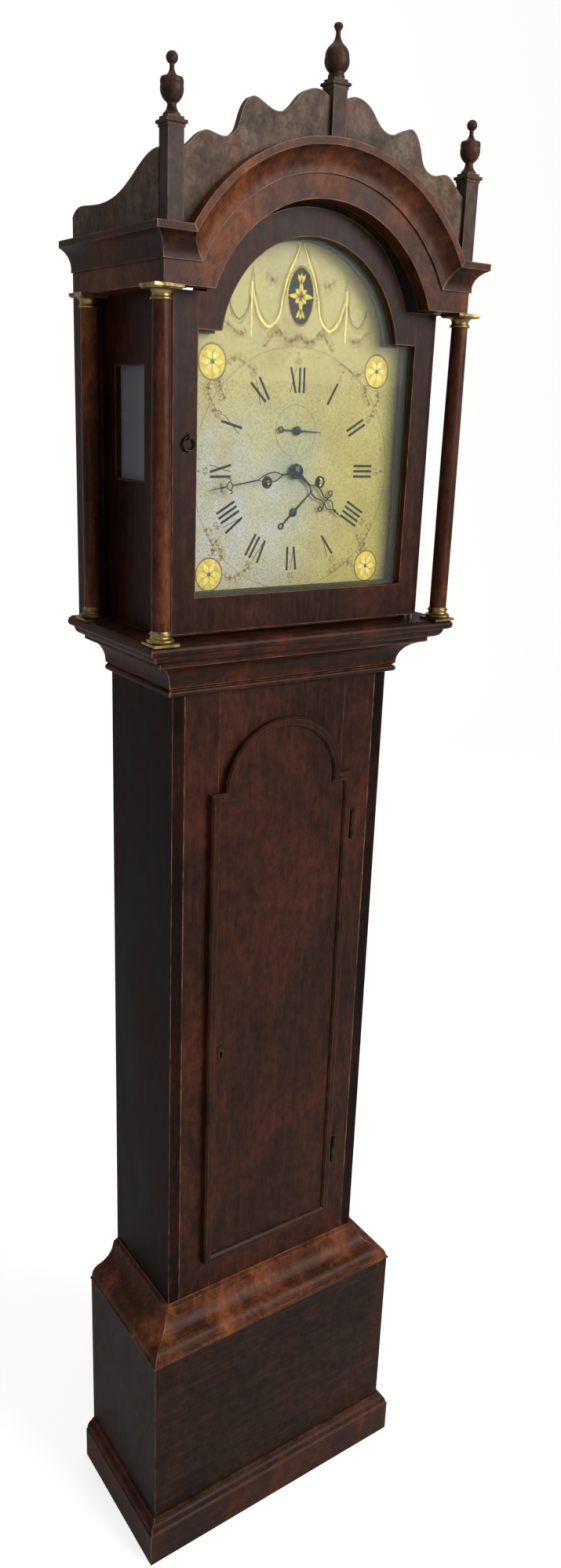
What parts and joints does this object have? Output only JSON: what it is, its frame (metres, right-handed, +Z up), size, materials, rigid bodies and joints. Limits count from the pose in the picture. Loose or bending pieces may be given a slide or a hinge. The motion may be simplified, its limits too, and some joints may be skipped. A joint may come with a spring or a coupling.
{
  "type": "longcase clock",
  "caption": "Tall longcase clock with a break-arch hood on columns, a painted dial, an arched trunk door, a panelled base and a pendulum movement that strikes.",
  "frame": {"origin": "on the floor under the middle of the clock's outer box", "axes": "+Z up, -Y out of the clock's front, +X to the right as one faces it; the back is the plane y = 0.1226"},
  "size_m": [0.4686, 0.2452, 2.1],
  "materials": {
    "mahogany": "polished dark red-brown mahogany with worn arrises",
    "oak": "plain unpolished oak carcass boards",
    "mask_wood": "olive-brown painted reveal round the dial",
    "brass": "aged lacquered brass with brighter edges",
    "movement_brass": "fine-brushed clock brass",
    "bell_metal": "turned bell metal",
    "blued_steel": "dark blued steel, pierced and polished",
    "steel": "plain steel",
    "cast_iron": "black cast iron",
    "dial_paint": "aged cream enamel paint with fine crackle",
    "glass": "thin clear window glass",
    "gut": "twisted gut line"
  },
  "bodies": {
    "case": {"backboard": "oak", "trunk_sides": "mahogany", "trunk_front_frame": "mahogany", "throat_moulding": "mahogany", "base_panels": "mahogany", "base_cove_moulding": "mahogany", "base_skirting": "mahogany", "seatboard": "oak", "movement_frame": "movement_brass", "dial_plate": "dial_paint", "bell": "bell_metal", "movement_brackets": "steel", "case_hinge_leaves": "brass"},
    "trunk_door": {"trunk_door_panel": "mahogany", "trunk_door_bead": "mahogany", "trunk_door_hinge_leaves": "brass", "trunk_door_lock": "steel", "trunk_door_escutcheon": "brass"},
    "trunk_bolt": {"trunk_lock_bolt": "brass"},
    "hood": {"hood_sill": "mahogany", "hood_sides": "mahogany", "hood_side_panes": "glass", "hood_frieze": "mahogany", "hood_cornice": "mahogany", "arch_moulding": "mahogany", "hood_roof": "oak", "dial_mask": "mask_wood", "cresting": "mahogany", "finial_plinths": "mahogany", "finials": "mahogany", "hood_columns": "mahogany", "column_brasses": "brass", "hood_door_pivots": "steel"},
    "hood_door": {"hood_door_frame": "mahogany", "hood_door_pane": "glass", "hood_door_eye": "brass"},
    "door_ring": {"hood_door_ring": "brass"},
    "minute_works": {"centre_wheel": "movement_brass", "minute_hand": "blued_steel"},
    "hour_works": {"hour_wheel": "movement_brass", "hour_hand": "blued_steel"},
    "minute_wheel": {"minute_wheel": "movement_brass"},
    "third_wheel": {"third_wheel": "movement_brass"},
    "escape_works": {"escape_wheel": "movement_brass", "seconds_hand": "blued_steel"},
    "going_great": {"going_great_wheel": "movement_brass"},
    "date_pointer": {"date_hand": "blued_steel"},
    "pin_wheel": {"pin_wheel": "movement_brass"},
    "strike_great": {"strike_great_wheel": "movement_brass"},
    "fly": {"fly": "movement_brass"},
    "going_drum": {"going_drum": "movement_brass"},
    "strike_drum": {"strike_drum": "movement_brass"},
    "going_weight": {"going_weight": "cast_iron", "going_line": "gut"},
    "strike_weight": {"strike_weight": "cast_iron", "strike_line": "gut"},
    "pendulum": {"pendulum_rod": "steel", "pendulum_bob": "brass"},
    "anchor": {"anchor": "steel"},
    "hammer": {"hammer": "steel"}
  },
  "joints": [
    {"name": "hood_slide", "type": "slide", "parent": "case", "child": "hood", "axis": [0, -1, 0], "range_m": [0, 0.3]},
    {"name": "hood_door_hinge", "type": "hinge", "parent": "hood", "child": "hood_door", "pos_m": [0.186, -0.0724, 1.628], "axis": [0, 0, 1], "range_deg": [0, 92]},
    {"name": "door_ring_pivot", "type": "hinge", "parent": "hood_door", "child": "door_ring", "pos_m": [-0.17, -0.08, 1.664], "axis": [-1, 0, 0], "range_deg": [0, 75]},
    {"name": "trunk_door_hinge", "type": "hinge", "parent": "case", "child": "trunk_door", "pos_m": [0.1178, -0.0559, 0.8605], "axis": [0, 0, 1], "range_deg": [0, 115]},
    {"name": "trunk_bolt_slide", "type": "slide", "parent": "trunk_door", "child": "trunk_bolt", "axis": [-1, 0, 0], "range_m": [0, 0.012]},
    {"name": "minute_spin", "type": "hinge", "parent": "case", "child": "minute_works", "pos_m": [0, -0.0074, 1.6243], "axis": [0, 1, 0], "continuous": true},
    {"name": "hour_spin", "type": "hinge", "parent": "case", "child": "hour_works", "pos_m": [0, -0.0274, 1.6243], "axis": [0, 1, 0], "continuous": true},
    {"name": "minute_wheel_spin", "type": "hinge", "parent": "case", "child": "minute_wheel", "pos_m": [-0.01342, -0.0194, 1.64347], "axis": [0, 1, 0], "continuous": true},
    {"name": "third_spin", "type": "hinge", "parent": "case", "child": "third_wheel", "pos_m": [0.0096, 0.0176, 1.65156], "axis": [0, 1, 0], "continuous": true},
    {"name": "escape_spin", "type": "hinge", "parent": "case", "child": "escape_works", "pos_m": [0, 0.0176, 1.6729], "axis": [0, 1, 0], "continuous": true},
    {"name": "going_great_spin", "type": "hinge", "parent": "case", "child": "going_great", "pos_m": [0.0403, 0.0366, 1.611], "axis": [0, 1, 0], "continuous": true},
    {"name": "date_spin", "type": "hinge", "parent": "case", "child": "date_pointer", "pos_m": [0, -0.0484, 1.574], "axis": [0, 1, 0], "continuous": true},
    {"name": "pin_wheel_spin", "type": "hinge", "parent": "case", "child": "pin_wheel", "pos_m": [-0.02808, 0.0176, 1.6465], "axis": [0, 1, 0], "continuous": true},
    {"name": "strike_great_spin", "type": "hinge", "parent": "case", "child": "strike_great", "pos_m": [-0.0403, 0.0366, 1.611], "axis": [0, 1, 0], "continuous": true},
    {"name": "fly_spin", "type": "hinge", "parent": "case", "child": "fly", "pos_m": [-0.03617, 0.0176, 1.66652], "axis": [0, 1, 0], "continuous": true},
    {"name": "going_weight_fall", "type": "slide", "parent": "case", "child": "going_weight", "axis": [0, 0, 1], "range_m": [-0.68, 0.42], "deforming": ["going_line"]},
    {"name": "strike_weight_fall", "type": "slide", "parent": "case", "child": "strike_weight", "axis": [0, 0, 1], "range_m": [-0.68, 0.42], "deforming": ["strike_line"]},
    {"name": "going_drum_spin", "type": "hinge", "parent": "case", "child": "going_drum", "pos_m": [0.0403, 0.0226, 1.611], "axis": [0, 1, 0], "range_deg": [-1900, 3050]},
    {"name": "strike_drum_spin", "type": "hinge", "parent": "case", "child": "strike_drum", "pos_m": [-0.0403, 0.0226, 1.611], "axis": [0, 1, 0], "range_deg": [-3050, 1900]},
    {"name": "pendulum_swing", "type": "hinge", "parent": "case", "child": "pendulum", "pos_m": [0, 0.0746, 1.6989], "axis": [0, 1, 0], "range_deg": [-2.5, 2.5]},
    {"name": "anchor_swing", "type": "hinge", "parent": "case", "child": "anchor", "pos_m": [0, 0.0316, 1.6989], "axis": [0, 1, 0], "range_deg": [-2.5, 2.5]},
    {"name": "hammer_lift", "type": "hinge", "parent": "case", "child": "hammer", "pos_m": [-0.056, 0.0176, 1.6943], "axis": [0, -1, 0], "range_deg": [0, 12], "stiffness_Nm_per_rad": 0.05, "springref_deg": -5.73}
  ],
  "couplings": [
    {"joint": "hour_spin", "follows": "minute_spin", "ratio": 0.083333},
    {"joint": "minute_wheel_spin", "follows": "minute_spin", "ratio": -1},
    {"joint": "third_spin", "follows": "minute_spin", "ratio": -7.5},
    {"joint": "escape_spin", "follows": "minute_spin", "ratio": 60},
    {"joint": "going_great_spin", "follows": "minute_spin", "ratio": -0.083333},
    {"joint": "strike_great_spin", "follows": "pin_wheel_spin", "ratio": -0.095238},
    {"joint": "fly_spin", "follows": "pin_wheel_spin", "ratio": -8},
    {"joint": "going_drum_spin", "follows": "going_weight_fall", "rad_per_m": -77.22},
    {"joint": "strike_drum_spin", "follows": "strike_weight_fall", "rad_per_m": 77.22},
    {"joint": "anchor_swing", "follows": "pendulum_swing", "ratio": 1}
  ]
}
